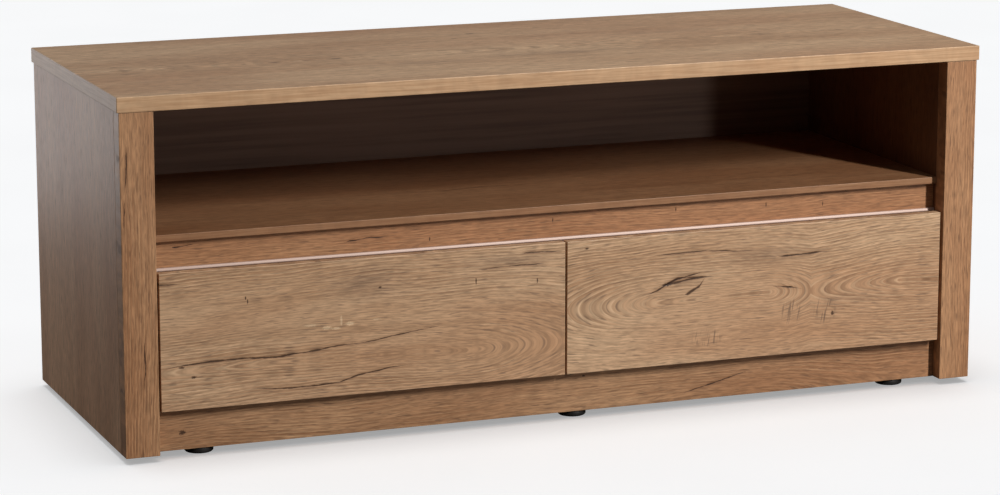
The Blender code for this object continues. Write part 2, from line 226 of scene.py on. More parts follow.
def crack(g, u, v, points, width, seed):
    """Dark check along (u, v) points, and the darker wood beside it."""
    wave = g.noise(g.vector(g.times(u, 30.0), seed, 0.0), 1.0, 4.0, 0.6)
    line = g.add(track(g, u, points), g.times(centred(g, wave), 0.0045))
    away = g.math("ABSOLUTE", g.math("SUBTRACT", v, line))
    start, end = points[0][0], points[-1][0]
    taper = g.times(g.ramp(u, start, start + 0.2 * (end - start)),
                    g.ramp(u, end, end - 0.35 * (end - start)))
    swell = g.noise(g.vector(g.times(u, 38.0), seed + 7.0, 0.0), 1.0, 3.0, 0.6)
    half = g.add(g.times(g.ramp(swell, 0.24, 0.68), taper, 1.35 * width), 0.00001)
    line_mask = g.ramp(g.math("DIVIDE", away, half), 1.6, 0.5)
    beside = g.times(g.ramp(away, 0.006, 0.0), taper)
    return g.times(line_mask, g.ramp(taper, 0.0, 0.1)), beside


def fleck(g, u, v, place, size):
    """Short dark nick in the decor; `size` is its half lengths along u and v."""
    ragged = g.noise(g.vector(g.times(u, 420.0), g.times(v, 420.0), 0.0), 1.0, 2.0, 0.6)
    near = g.add(reach(g, u, v, place, size), g.times(centred(g, ragged), 1.6))
    return g.ramp(near, 1.1, 0.5)


def oak(name, axes, seed, tone, surface, pith=(-0.35, ((0.0, 0.03),)), figure=1.0, wander=1.0,
        quiet="", cracks=(), flecks=(), pale_marks=(), scratches=(), stains=()):
    """Rustic oak melamine.

    axes      letters of the coordinates along the grain, across it and through the board
    surface   coordinate through the board of its show face
    pith      (place across, ((place along, depth), ...)): the tree's middle under the board.
              Rings are circles round it, so a depth that changes along the board draws arches.
    figure    strength of the ring lines; wander, how far they stray from straight
    quiet     letters of the faces, by their normal, that carry plain straight-grained edging
    cracks    (points, half width) of dark checks
    flecks    (place, half size) of short dark nicks; pale_marks, of light ones
    scratches (centre, half size) of patches with fine dark lines across the grain
    stains    (centre, half size, strength) of soft dark clouds
    """
    g = Graph(name)
    place = dict(zip("xyz", g.coords()))
    facing = dict(zip("xyz", g.normals()))
    u, v, w = (place[letter] for letter in axes)
    far_u = g.add(u, 1.37 * seed)
    far_v = g.add(v, 0.61 * seed)

    def cloud(along, across, detail=2.0, rough=0.5, offset=0.0):
        """Noise fixed to the board; `along` and `across` are in cycles per metre."""
        where = g.vector(g.add(g.times(far_u, along), offset), g.times(far_v, across),
                         g.times(w, across))
        return g.noise(where, 1.0, detail, rough)

    # Distance from the pith, bent by slow and by short waves
    pith_v, depths = pith
    stray = g.add(g.times(centred(g, cloud(2.4, 6.0, 2.0)), 0.034 * wander),
                  g.times(centred(g, cloud(9.0, 30.0, 2.0, 0.5, 3.0)), 0.006 * wander))
    side_way = g.add(g.math("SUBTRACT", v, pith_v), stray)
    below_face = g.times(g.math("SUBTRACT", w, surface), 0.6)
    down = g.add(track(g, u, depths), below_face, g.times(stray, 0.3))
    radius = g.math("SQRT", g.add(g.times(side_way, side_way), g.times(down, down)))
    ring = g.math("DIVIDE", radius, RING_SPACING)

    def grain(along, across, detail=2.0, rough=0.5, offset=0.0):
        """Noise drawn out along the rings, in cycles per metre."""
        where = g.vector(g.add(g.times(far_u, along), offset), g.times(radius, across), seed)
        return g.noise(where, 1.0, detail, rough)

    bands = grain(1.6, 62.0, 3.0, 0.6, 7.0)
    phase = g.add(ring, g.times(centred(g, grain(5.0, 90.0, 2.0, 0.5, 19.0)), 1.1))
    saw = g.math("FRACT", phase)
    late = g.times(g.ramp(saw, 0.25, 0.95), g.ramp(saw, 1.0, 0.93))
    ring_zone = g.ramp(cloud(2.0, 9.0, 2.0, 0.5, 11.0), 0.36, 0.62)
    broken = g.ramp(grain(16.0, 210.0, 2.0, 0.6, 23.0), 0.34, 0.62)
    patches = cloud(2.2, 9.0, 3.0, 0.55, 17.0)
    blush = cloud(1.3, 6.0, 2.0, 0.5, 29.0)
    streaks = grain(9.0, 210.0, 4.0, 0.68, 5.0)
    dashes = grain(44.0, 480.0, 2.0, 0.6, 31.0)
    fibre = grain(60.0, 900.0, 2.0, 0.6, 37.0)
    pores = g.ramp(grain(40.0, 460.0, 1.0, 0.5, 41.0), 0.60, 0.70)

    # Patches, growth rings, streaks and pores, from the broadest to the finest
    colour = g.mix(g.ramp(patches, 0.34, 0.66), OAK_MID, OAK_LIGHT)
    colour = g.mix(g.times(g.ramp(blush, 0.44, 0.66), 0.45), colour, OAK_ROSE)
    colour = g.mix(g.times(g.ramp(bands, 0.46, 0.72), 0.30 * figure), colour, OAK_DARK)
    colour = g.mix(g.times(late, ring_zone, broken, 0.62 * figure), colour, OAK_DARK)
    pale = g.times(g.ramp(saw, 0.34, 0.06), ring_zone, 0.42 * figure)
    colour = g.mix(pale, colour, OAK_PALE)
    colour = g.mix(g.times(g.ramp(streaks, 0.54, 0.74), 0.40), colour, OAK_DARK)
    colour = g.mix(g.times(g.ramp(streaks, 0.44, 0.28), 0.30), colour, OAK_PALE)
    colour = g.mix(g.times(pores, 0.55), colour, OAK_GREY)

    for centre, size, strength in stains:
        smudge = g.times(window(g, u, v, centre, size), strength)
        ragged = g.ramp(cloud(26.0, 90.0, 3.0, 0.65, 53.0), 0.30, 0.62)
        colour = g.mix(g.times(smudge, g.add(0.35, g.times(ragged, 0.65))), colour, OAK_GREY)
    for spot, size in pale_marks:
        colour = g.mix(g.times(fleck(g, u, v, spot, size), 0.8), colour, OAK_PALE)
    for centre, size in scratches:
        leaning = g.math("SUBTRACT", u, g.times(v, 0.16))
        lines = g.noise(g.vector(g.times(leaning, 330.0), g.times(v, 26.0), seed), 1.0, 1.0, 0.5)
        near = g.ramp(window(g, u, v, centre, size), 0.05, 0.5)
        marks = g.times(g.ramp(lines, 0.52, 0.66), near, 0.80)
        colour = g.mix(marks, colour, OAK_GREY)
    depth = g.times(pores, -0.25)
    for number, (points, width) in enumerate(cracks):
        line, beside = crack(g, u, v, points, width, seed + 3.1 * number)
        colour = g.mix(g.times(beside, 0.34), colour, OAK_DARK)
        colour = g.mix(g.times(line, 0.86), colour, OAK_CRACK)
        depth = g.math("SUBTRACT", depth, line)
    for spot, size in flecks:
        nick = fleck(g, u, v, spot, size)
        colour = g.mix(g.times(nick, 0.85), colour, OAK_CRACK)
        depth = g.math("SUBTRACT", depth, nick)

    # Arrises, where no axis carries the whole normal, are painted paler: a painted highlight along
    # the edges
    biggest = g.math("MAXIMUM", g.math("ABSOLUTE", facing["x"]),
                     g.math("ABSOLUTE", facing["y"]))
    biggest = g.math("MAXIMUM", biggest, g.math("ABSOLUTE", facing["z"]))
    colour = g.mix(g.times(g.ramp(biggest, 0.995, 0.90), 0.45), colour, OAK_PALE)

    # Fine grain lightens and darkens whatever lies under it
    crisp = g.ramp(dashes, 0.36, 0.64)
    speckle = g.add(g.times(centred(g, crisp), 0.32), g.times(centred(g, fibre), 0.45),
                    g.times(centred(g, grain(16.0, 190.0, 3.0, 0.65, 61.0)), 0.55))
    if quiet:
        level = g.vector(g.times(far_u, 12.0), g.times(far_v, 12.0), g.times(w, 420.0))
        plain = g.mix(g.ramp(g.noise(level, 1.0, 3.0, 0.6), 0.35, 0.65), OAK_LIGHT, OAK_MID)
        edge_way = g.add(*(g.math("ABSOLUTE", facing[letter]) for letter in quiet))
        face = g.ramp(edge_way, 0.90, 0.98)
        colour = g.mix(g.times(face, 0.85), colour, plain)
        speckle = g.times(speckle, g.math("SUBTRACT", 1.0, g.times(face, 0.75)))
    lightness = g.node("ShaderNodeHueSaturation")
    g.plug(lightness.inputs["Value"], g.add(1.0, speckle))
    g.plug(lightness.inputs["Color"], g.mix(1.0, colour, tone, "MULTIPLY"))
    roughness = g.add(0.46, g.times(centred(g, fibre), 0.20), g.times(pores, 0.08))
    relief = g.add(depth, g.times(fibre, 0.5), g.times(streaks, 0.25))
    return g.shade(lightness.outputs[0], roughness, g.bump(relief, 0.00012),
                   Specular_IOR_Level=0.42)


# ------------------------------------------------------------------ other materials
def chipboard():
    """Uncoated chipboard: pressed wood flakes."""
    g = Graph("raw_chipboard")
    x, y, z = g.coords()
    flakes = g.node("ShaderNodeTexVoronoi")
    g.plug(flakes.inputs["Vector"], g.vector(x, y, z))
    flakes.inputs["Scale"].default_value = 420.0
    tint = g.split(flakes.outputs["Color"])[0]
    dust = g.noise(g.vector(x, y, z), 900.0, 2.0, 0.6)
    colour = g.mix(g.ramp(tint, 0.1, 0.9, False), srgb(150, 118, 84), srgb(206, 176, 134))
    colour = g.mix(g.ramp(dust, 0.45, 0.75), colour, srgb(120, 88, 60))
    return g.shade(colour, g.add(0.78, g.times(dust, 0.15)), g.bump(tint, 0.0003))


def foil_board():
    """Drawer sides: light grey-beige foil with a fine linen weave."""
    g = Graph("drawer_foil")
    x, y, z = g.coords()
    warp = g.math("SINE", g.times(g.add(x, y), 5200.0))
    weft = g.math("SINE", g.times(z, 5200.0))
    thread = g.math("MAXIMUM", warp, weft)
    slub = g.noise(g.vector(g.times(x, 30.0), g.times(y, 30.0), g.times(z, 500.0)), 1.0, 3.0, 0.6)
    colour = g.mix(g.ramp(slub, 0.3, 0.7), srgb(176, 168, 156), srgb(202, 195, 184))
    colour = g.mix(g.times(g.ramp(thread, 0.2, 1.0), 0.18), colour, srgb(220, 214, 204))
    return g.shade(colour, g.add(0.50, g.times(slub, 0.12)), g.bump(thread, 0.00004, 0.6))


def back_board():
    """Thin board: printed dull brown in front, bare fibre behind and beneath."""
    g = Graph("back_board")
    x, y, z = g.coords()
    ahead = g.normals()
    streak = g.noise(g.vector(g.times(x, 2.5), g.times(y, 60.0), g.times(z, 90.0)), 1.0, 4.0, 0.6)
    cloud = g.noise(g.vector(g.times(x, 2.0), g.times(y, 6.0), g.times(z, 9.0)), 1.0, 2.0, 0.5)
    printed = g.mix(g.ramp(streak, 0.35, 0.7), srgb(140, 114, 98), srgb(112, 88, 74))
    printed = g.mix(g.times(g.ramp(cloud, 0.4, 0.65), 0.4), printed, srgb(150, 122, 104))
    fibres = g.noise(g.vector(x, y, z), 260.0, 5.0, 0.75)
    bare = g.mix(g.ramp(fibres, 0.3, 0.75), srgb(112, 80, 54), srgb(150, 113, 80))
    up_or_front = g.math("SUBTRACT", ahead[2], ahead[1])
    colour = g.mix(g.ramp(up_or_front, 0.2, 0.6), bare, printed)
    return g.shade(colour, g.add(0.55, g.times(fibres, 0.2)), g.bump(fibres, 0.00008, 0.7))


def aluminium():
    """Champagne-lacquered extrusion with fine drawing lines along its length."""
    g = Graph("satin_aluminium")
    x, y, z = g.coords()
    draw = g.noise(g.vector(g.times(x, 3.0), g.times(y, 5000.0), g.times(z, 5000.0)), 1.0, 3.0, 0.6)
    smear = g.noise(g.vector(g.times(x, 6.0), g.times(y, 40.0), g.times(z, 40.0)), 1.0, 2.0, 0.5)
    colour = g.mix(g.ramp(draw, 0.3, 0.7), srgb(180, 151, 137), srgb(200, 172, 158))
    roughness = g.add(0.39, g.times(draw, 0.10), g.times(smear, 0.06))
    return g.shade(colour, roughness, g.bump(draw, 0.00002, 0.4), Metallic=0.12,
                   Specular_IOR_Level=0.9)


def coated_steel():
    """Roller runners: off-white powder coat with an orange-peel skin."""
    g = Graph("coated_steel")
    x, y, z = g.coords()
    peel = g.noise(g.vector(x, y, z), 900.0, 2.0, 0.5)
    rub = g.noise(g.vector(g.times(x, 200.0), g.times(y, 8.0), g.times(z, 200.0)), 1.0, 3.0, 0.6)
    colour = g.mix(g.ramp(rub, 0.35, 0.75), srgb(222, 221, 216), srgb(198, 197, 192))
    return g.shade(colour, g.add(0.33, g.times(rub, 0.14)), g.bump(peel, 0.00008, 0.6))


def zinc():
    """Die-cast cam: dull grey metal with casting mottle."""
    g = Graph("cast_zinc")
    x, y, z = g.coords()
    mottle = g.noise(g.vector(x, y, z), 600.0, 4.0, 0.7)
    colour = g.mix(g.ramp(mottle, 0.3, 0.7), srgb(150, 152, 156), srgb(188, 190, 193))
    return g.shade(colour, g.add(0.30, g.times(mottle, 0.25)), g.bump(mottle, 0.0001, 0.6),
                   Metallic=1.0)


def plated_screw():
    """Bright zinc-plated screws and nails."""
    g = Graph("plated_screw")
    x, y, z = g.coords()
    tarnish = g.noise(g.vector(x, y, z), 320.0, 3.0, 0.6)
    colour = g.mix(g.ramp(tarnish, 0.35, 0.7), srgb(206, 204, 196), srgb(176, 172, 158))
    return g.shade(colour, g.add(0.22, g.times(tarnish, 0.2)), None, Metallic=1.0)


def plastic(name, dark, light, rough, grain):
    """Moulded plastic with a fine spark-eroded texture."""
    g = Graph(name)
    x, y, z = g.coords()
    skin = g.noise(g.vector(x, y, z), 1400.0, 3.0, 0.6)
    flow = g.noise(g.vector(x, y, z), 60.0, 2.0, 0.5)
    colour = g.mix(g.ramp(flow, 0.3, 0.7), dark, light)
    return g.shade(colour, g.add(rough, g.times(skin, 0.12)), g.bump(skin, grain, 0.6))


# ------------------------------------------------------------------ boards
def paint(node, material):
    """Give a carried-over CAD board its material."""
    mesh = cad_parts[node].data
    mesh.materials.clear()
    mesh.materials.append(material)


# Tints that multiply the oak colours
TONE_FRONT = (0.98, 0.95, 0.91, 1.0)
TONE_WARM = (0.76, 0.60, 0.48, 1.0)
TONE_TOP = (0.98, 0.92, 0.83, 1.0)
TONE_SIDE = (0.95, 0.81, 0.72, 1.0)
# Painted shade: the inner sides get a much darker tint for the shaded compartment
TONE_INNER_SHADE = (0.34, 0.24, 0.18, 1.0)
# Painted shade: the shelf gets a darker tint for the shaded compartment under the top
TONE_SHELF_SHADE = (0.55, 0.42, 0.33, 1.0)
TONE_PLINTH = (0.78, 0.66, 0.56, 1.0)


def board(node, axes, seed, tone, face=0, **look):
    """Oak on a CAD board; its show face is the lower (0) or the upper (1) through the board."""
    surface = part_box(node)[face]["xyz".index(axes[2])]
    paint(node, oak("oak_" + node, axes, seed, tone, surface, **look))


# Marks are placed in metres: (along the grain, across it)
board("left_drawer_front", "xzy", 2.0, TONE_FRONT,
      pith=(0.124, ((-0.64, 0.012), (-0.45, 0.003), (-0.20, 0.003), (-0.12, 0.012),
                    (-0.005, 0.044))),
      cracks=[(((-0.629, 0.1325), (-0.617, 0.1338), (-0.560, 0.1386), (-0.511, 0.1402),
                (-0.449, 0.1376), (-0.403, 0.1407), (-0.361, 0.1458), (-0.319, 0.1474),
                (-0.285, 0.1504)), 0.0013),
              (((-0.325, 0.1471), (-0.296, 0.1494), (-0.259, 0.1555), (-0.233, 0.1582),
                (-0.188, 0.1642)), 0.0008),
              (((-0.493, 0.0951), (-0.437, 0.0902), (-0.386, 0.0897), (-0.353, 0.0926),
                (-0.324, 0.0999), (-0.272, 0.1075), (-0.219, 0.1106)), 0.0010),
              (((-0.624, 0.2563), (-0.602, 0.2555), (-0.586, 0.2542)), 0.0008),
              (((-0.143, 0.2407), (-0.091, 0.2430), (-0.020, 0.2423)), 0.0007),
              (((-0.076, 0.2599), (-0.039, 0.2607), (-0.002, 0.2594)), 0.0006)],
      flecks=[((-0.570, 0.1186), (0.0042, 0.0024)), ((-0.588, 0.1340), (0.0048, 0.0018)),
              ((-0.492, 0.2271), (0.0013, 0.0028)), ((-0.489, 0.2221), (0.0013, 0.0040)),
              ((-0.142, 0.2245), (0.0012, 0.0060)), ((-0.046, 0.2174), (0.0012, 0.0050)),
              ((-0.290, 0.2268), (0.0030, 0.0018))],
      pale_marks=[((-0.395, 0.1792), (0.0110, 0.0018)), ((-0.371, 0.1738), (0.0080, 0.0030)),
                  ((-0.349, 0.1826), (0.0019, 0.0090)), ((-0.357, 0.1719), (0.0080, 0.0020)),
                  ((-0.336, 0.1773), (0.0075, 0.0032)), ((-0.295, 0.1803), (0.0070, 0.0012))],
      stains=[((-0.310, 0.2349), (0.090, 0.040), 0.50), ((-0.086, 0.2519), (0.110, 0.020), 0.45)])

board("right_drawer_front", "xzy", 5.0, TONE_FRONT,
      pith=(0.172, ((-0.02, 0.050), (0.14, 0.008), (0.20, 0.002), (0.33, 0.003),
                    (0.40, 0.030), (0.55, 0.004), (0.66, 0.002))),
      cracks=[(((0.128, 0.1810), (0.146, 0.1870), (0.161, 0.1949), (0.179, 0.2027),
                (0.226, 0.2018)), 0.0014),
              (((0.146, 0.1925), (0.163, 0.1953), (0.206, 0.2010), (0.240, 0.2025)), 0.0019),
              (((0.150, 0.1900), (0.174, 0.2013), (0.192, 0.2042), (0.222, 0.2110)), 0.0014),
              (((0.190, 0.1765), (0.197, 0.1791), (0.215, 0.1889), (0.226, 0.2040)), 0.0018),
              (((0.340, 0.2225), (0.370, 0.2237), (0.416, 0.2259), (0.440, 0.2265)), 0.0011),
              (((0.140, 0.2400), (0.224, 0.2420), (0.310, 0.2340)), 0.0006),
              (((0.335, 0.1780), (0.352, 0.1768), (0.365, 0.1751), (0.388, 0.1700)), 0.0010)],
      flecks=[((0.032, 0.2593), (0.0034, 0.0018)), ((0.437, 0.1289), (0.0030, 0.0040)),
              ((0.163, 0.1950), (0.0080, 0.0028)), ((0.365, 0.1751), (0.0050, 0.0016))],
      scratches=[((0.367, 0.1362), (0.024, 0.028)), ((0.424, 0.1350), (0.026, 0.030)),
                 ((0.228, 0.1080), (0.034, 0.020))],
      stains=[((0.330, 0.226), (0.140, 0.022), 0.42), ((0.195, 0.200), (0.050, 0.016), 0.45),
              ((0.470, 0.150), (0.100, 0.016), 0.30)])

board("plinth", "xzy", 9.0, TONE_PLINTH,
      pith=(0.002, ((-0.65, 0.010), (0.15, 0.012), (0.30, 0.004), (0.52, 0.032), (0.65, 0.034))),
      cracks=[(((0.195, 0.020), (0.240, 0.030), (0.310, 0.047)), 0.0009)],
      flecks=[((-0.583, 0.034), (0.0060, 0.0040)), ((0.036, 0.062), (0.0030, 0.0016))])

board("front_rail", "xzy", 13.0, TONE_WARM, figure=0.7, wander=0.6,
      flecks=[((-0.202, 0.285), (0.0010, 0.0040)), ((-0.009, 0.299), (0.0010, 0.0045)),
              ((0.189, 0.301), (0.0011, 0.0040)), ((0.338, 0.298), (0.0010, 0.0045)),
              ((0.433, 0.293), (0.0010, 0.0040)), ((-0.586, 0.302), (0.0040, 0.0012))],
      cracks=[(((-0.590, 0.301), (-0.575, 0.3025), (-0.555, 0.305)), 0.0008),
              (((-0.335, 0.290), (-0.300, 0.294), (-0.262, 0.293)), 0.0009)])

# Shelf: darker tint as painted shade of the compartment
board("media_shelf", "xyz", 17.0, TONE_SHELF_SHADE, 1, quiet="xy", wander=0.8,
      cracks=[(((-0.150, -0.060), (-0.060, -0.048), (0.040, -0.052)), 0.0009)])

board("top_panel", "xyz", 21.0, TONE_TOP, 1, figure=0.95, quiet="xy",
      pith=(-0.020, ((-0.70, 0.035), (-0.20, 0.004), (0.10, 0.030), (0.70, 0.006))),
      stains=[((0.056, -0.083), (0.200, 0.026), 0.45), ((-0.160, -0.105), (0.130, 0.022), 0.40),
              ((0.276, 0.060), (0.140, 0.034), 0.30), ((-0.006, 0.145), (0.035, 0.012), 0.45)],
      flecks=[((-0.045, 0.106), (0.0060, 0.0022)), ((-0.006, 0.145), (0.0080, 0.0030))])

board("left_outer_side", "zyx", 25.0, TONE_SIDE, figure=0.55)
board("right_outer_side", "zyx", 27.0, TONE_SIDE, 1, figure=0.55)
# Inner sides: darker tint as painted shade of the compartment
board("left_inner_side", "zyx", 29.0, TONE_INNER_SHADE, 1, figure=0.55)
board("right_inner_side", "zyx", 31.0, TONE_INNER_SHADE, figure=0.55)

board("left_front_stile", "zxy", 35.0, TONE_WARM, figure=0.9,
      cracks=[(((0.395, -0.6655), (0.430, -0.6625), (0.464, -0.6622)), 0.0010),
              (((0.340, -0.6680), (0.365, -0.6668), (0.388, -0.6667)), 0.0008),
              (((0.105, -0.6440), (0.140, -0.6415), (0.180, -0.6427)), 0.0010)])
board("right_front_stile", "zxy", 38.0, TONE_WARM, figure=0.9)
board("left_rear_strip", "zxy", 41.0, TONE_SIDE, 1, figure=0.6)
board("right_rear_strip", "zxy", 43.0, TONE_SIDE, 1, figure=0.6)
board("rear_top_rail", "xzy", 47.0, TONE_SIDE, 1, figure=0.6)
board("bottom_panel", "xyz", 51.0, TONE_SIDE, figure=0.8)
board("centre_divider", "yzx", 53.0, TONE_SIDE, figure=0.6)

CHIPBOARD = chipboard()
FOIL = foil_board()
BACK_BOARD = back_board()
ALUMINIUM = aluminium()
STEEL = coated_steel()
ZINC = zinc()
PLATED = plated_screw()
BLACK = plastic("black_plastic", srgb(22, 21, 21), srgb(34, 32, 31), 0.42, 0.0001)
NYLON = plastic("nylon", srgb(214, 210, 198), srgb(228, 225, 216), 0.38, 0.00005)

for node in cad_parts:
    if node.endswith("_spacer") or node.endswith("_base_rail"):
        paint(node, CHIPBOARD)
for drawer in ("left_drawer", "right_drawer"):
    for hand in ("left", "right"):
        paint(drawer + "_" + hand + "_side", FOIL)
    paint(drawer + "_back", FOIL)
    paint(drawer + "_bottom", BACK_BOARD)
paint("back_panel", BACK_BOARD)


# ------------------------------------------------------------------ mesh helpers
def arcs(corners, steps=5):
    """Points of a closed outline whose corners (a, b, radius) are rounded."""
    points = []
    count = len(corners)
    for k, (a, b, radius) in enumerate(corners):
        here = Vector((a, b))
        before = Vector(corners[k - 1][:2])
        after = Vector(corners[(k + 1) % count][:2])
        if radius <= 0:
            points.append((a, b))
            continue
        back = (before - here).normalized()
        ahead = (after - here).normalized()
        half = back.angle(ahead) / 2
        reach = min(radius / math.tan(half), (before - here).length * 0.499,
                    (after - here).length * 0.499)
        round_radius = reach * math.tan(half)
        centre = here + (back + ahead).normalized() * (round_radius / math.sin(half))
        first = here + back * reach - centre
        last = here + ahead * reach - centre
        turn = first.angle_signed(last)
        for step in range(steps + 1):
            angle = -turn * step / steps
            spoke = Vector((first.x * math.cos(angle) - first.y * math.sin(angle),
                            first.x * math.sin(angle) + first.y * math.cos(angle)))
            points.append(tuple(centre + spoke))
    return points


def add_piece(name, bm, material, body, replaces=(), sharp=35.0):
    """Finish a bmesh as a piece that rides on `body`."""
    bmesh.ops.recalc_face_normals(bm, faces=bm.faces)
    mesh = bpy.data.meshes.new(name)
    bm.to_mesh(mesh)
    bm.free()
    mesh.shade_smooth()
    mesh.set_sharp_from_angle(angle=math.radians(sharp))
    piece = bpy.data.objects.new(name, mesh)
    bpy.context.scene.collection.objects.link(piece)
    mesh.materials.append(material)
    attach(piece, body)
    if replaces:
        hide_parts(*replaces)
    return piece


def swept(outline, axis, start, end):
    """Bmesh of a closed outline extruded along axis 0, 1 or 2."""
    bm = bmesh.new()
    loop = []
    for a, b in outline:
        point = [a, b]
        point.insert(axis, start)
        loop.append(bm.verts.new(point))
    face = bm.faces.new(loop)
    made = bmesh.ops.extrude_face_region(bm, geom=[face])
    moved = [item for item in made["geom"] if isinstance(item, bmesh.types.BMVert)]
    shift = Vector((0.0, 0.0, 0.0))
    shift[axis] = end - start
    bmesh.ops.translate(bm, verts=moved, vec=shift)
    return bm


def lathe(profile, axis, centre, steps=48):
    """Bmesh of a closed (radius, along) profile turned about X or Z."""
    bm = bmesh.new()
    rings = []
    for step in range(steps):
        angle = math.tau * step / steps
        ring = []
        for radius, along in profile:
            side, up = radius * math.cos(angle), radius * math.sin(angle)
            offset = Vector((along, side, up) if axis == "X" else (side, up, along))
            ring.append(bm.verts.new(Vector(centre) + offset))
        rings.append(ring)
    for step in range(steps):
        ring, after = rings[step], rings[(step + 1) % steps]
        for k in range(len(profile)):
            j = (k + 1) % len(profile)
            bm.faces.new((ring[k], ring[j], after[j], after[k]))
    bmesh.ops.remove_doubles(bm, verts=bm.verts, dist=0.0000005)
    return bm


def middle_of(node):
    low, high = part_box(node)
    return (Vector(low) + Vector(high)) / 2


# ------------------------------------------------------------------ finger channel
def finger_channel():
    """Extrusion with a rounded bead along its top edge, rounded bends and a small front lip."""
    low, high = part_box("finger_channel")
    lip, back, bottom, top = low[1], high[1], low[2], high[2]
    sheet, bead, slant = 0.0014, 0.005, 0.0018
    outline = arcs([
        (lip, bottom, 0.0005),
        (back, bottom, 0.0004),
        (back, top, 0.0009),
        (back - bead + slant, top, 0.0014),
        (back - bead, top - bead, 0.0012),
        (back - sheet, top - bead, 0.0006),
        (back - sheet, bottom + sheet, 0.0020),
        (lip + sheet, bottom + sheet, 0.0010),
        (lip + sheet, bottom + 0.004, 0.0006),
        (lip, bottom + 0.004, 0.0006),
    ], 6)
    bm = swept(outline, 0, low[0], high[0])
    add_piece("finger_channel_extrusion", bm, ALUMINIUM, "cabinet", ["finger_channel"],
              30.0)


# ------------------------------------------------------------------ feet
def foot(node):
    """Moulded glide: soft lower edge, a shallow waist and a seating flange."""
    low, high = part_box(node)
    centre = middle_of(node)
    radius, height = (high[0] - low[0]) / 2, high[2] - low[2]
    profile = arcs([
        (0.0, 0.0, 0.0),
        (radius - 0.0016, 0.0, 0.0),
        (radius, 0.0016, 0.0010),
        (radius, height - 0.0020, 0.0005),
        (radius - 0.0012, height - 0.0012, 0.0003),
        (radius - 0.0012, height, 0.0002),
        (0.0, height, 0.0),
    ], 4)
    add_piece(node + "_glide", lathe(profile, "Z", (centre.x, centre.y, low[2]), 64), BLACK,
              "cabinet", [node], 40.0)


# ------------------------------------------------------------------ runners
ROLLER_RADIUS = 0.009
PIN_RADIUS = 0.003
PIN_HEAD = 0.0045
PIN_HEAD_HEIGHT = 0.001
FRONT_PIN_TIP = 0.0099                 # pin ends, from the cabinet wall
REAR_PIN_TIP = 0.0021
RUNNER_SHEET = 0.0012
TOUCH = 0.0003                         # left between pieces that touch
RUNNER_FLANGE = 0.010                  # reach of the cabinet runner's flanges from the wall
RUNNER_SPACE = 0.0125                  # between the cabinet wall and the drawer side
TRACK_OUTER = 0.003                    # drawer runner's edges, from the wall
TRACK_INNER = 0.0245
SCREW_RADIUS = 0.0036
SCREW_HEAD = 0.0003
SCREW_SHARES = (0.14, 0.50, 0.90)      # of the runner's length


def roller(node):
    """Nylon roller: crowned tread, dished faces and a raised hub."""
    low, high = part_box(node)
    centre = middle_of(node)
    half = (high[0] - low[0]) / 2
    bore, hub = 0.0033, 0.0050
    profile = arcs([
        (bore, -half, 0.0002),
        (hub, -half, 0.0003),
        (hub + 0.0003, 0.0010 - half, 0.0003),
        (ROLLER_RADIUS - 0.0018, 0.0010 - half, 0.0003),
        (ROLLER_RADIUS - 0.0014, -half, 0.0003),
        (ROLLER_RADIUS - 0.0006, -half, 0.0002),
        (ROLLER_RADIUS, 0.0008 - half, 0.0005),
        (ROLLER_RADIUS, half - 0.0008, 0.0005),
        (ROLLER_RADIUS - 0.0006, half, 0.0002),
        (ROLLER_RADIUS - 0.0014, half, 0.0003),
        (ROLLER_RADIUS - 0.0018, half - 0.0010, 0.0003),
        (hub + 0.0003, half - 0.0010, 0.0003),
        (hub, half, 0.0003),
        (bore, half, 0.0002),
    ], 2)
    add_piece(node + "_moulding", lathe(profile, "X", centre, 48), NYLON, node, [node])


def pin(name, centre, reach, tip, side, body):
    """Steel pin with a domed rivet head at `tip`; both are X distances from `centre`."""
    inner = tip - side * PIN_HEAD_HEIGHT
    profile = arcs([
        (0.0, reach, 0.0),
        (PIN_RADIUS, reach, 0.0),
        (PIN_RADIUS, inner, 0.0),
        (PIN_HEAD, inner, 0.0002),
        (PIN_HEAD * 0.8, tip, 0.0008),
        (0.0, tip, 0.0),
    ], 3)
    add_piece(name, lathe(profile, "X", centre, 32), PLATED, body, ())


def flat_screw(name, place, side, body):
    """Low domed screw head that looks along X towards `side`."""
    rim, crown = side * SCREW_HEAD / 2, side * SCREW_HEAD
    bm = lathe(arcs([(0.0, 0.0, 0.0), (SCREW_RADIUS, 0.0, 0.0), (SCREW_RADIUS, rim, 0.0),
                     (SCREW_RADIUS * 0.8, crown, 0.0002), (0.0, crown, 0.0)], 2),
               "X", place, 32)
    add_piece(name, bm, PLATED, body, ())


def runner_profile(wall, side, corners):
    """Outline in (x, z) from (distance from the wall, height, radius) corners."""
    return [(wall + side * a, b) for a, b in arcs(corners, 4)]


def cabinet_runner(prefix, wall, side):
    """Folded channel with its front pin and three mounting screws."""
    node = prefix + "_cabinet_runner"
    low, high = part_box(node)
    bottom, top = low[2], high[2]
    gap, flange = TOUCH, RUNNER_FLANGE
    web = gap + RUNNER_SHEET
    outline = runner_profile(wall, side, [
        (gap, bottom, 0.0016),
        (flange, bottom, 0.0005),
        (flange, bottom + RUNNER_SHEET, 0.0005),
        (web, bottom + RUNNER_SHEET, 0.0006),
        (web, top - RUNNER_SHEET, 0.0006),
        (flange, top - RUNNER_SHEET, 0.0005),
        (flange, top, 0.0005),
        (gap, top, 0.0016),
    ])
    add_piece(node + "_channel", swept(outline, 1, low[1], high[1]), STEEL, "cabinet", [node])
    centre = middle_of(prefix + "_front_roller")
    from_wall = abs(centre.x - wall)
    pin(prefix + "_front_pin", centre, side * (web - from_wall),
        side * (FRONT_PIN_TIP - from_wall), side, "cabinet")
    height = (bottom + top) / 2
    for number, share in enumerate(SCREW_SHARES):
        y = low[1] + share * (high[1] - low[1])
        flat_screw(prefix + "_runner_screw_" + str(number + 1), (wall + side * web, y, height),
                   side, "cabinet")


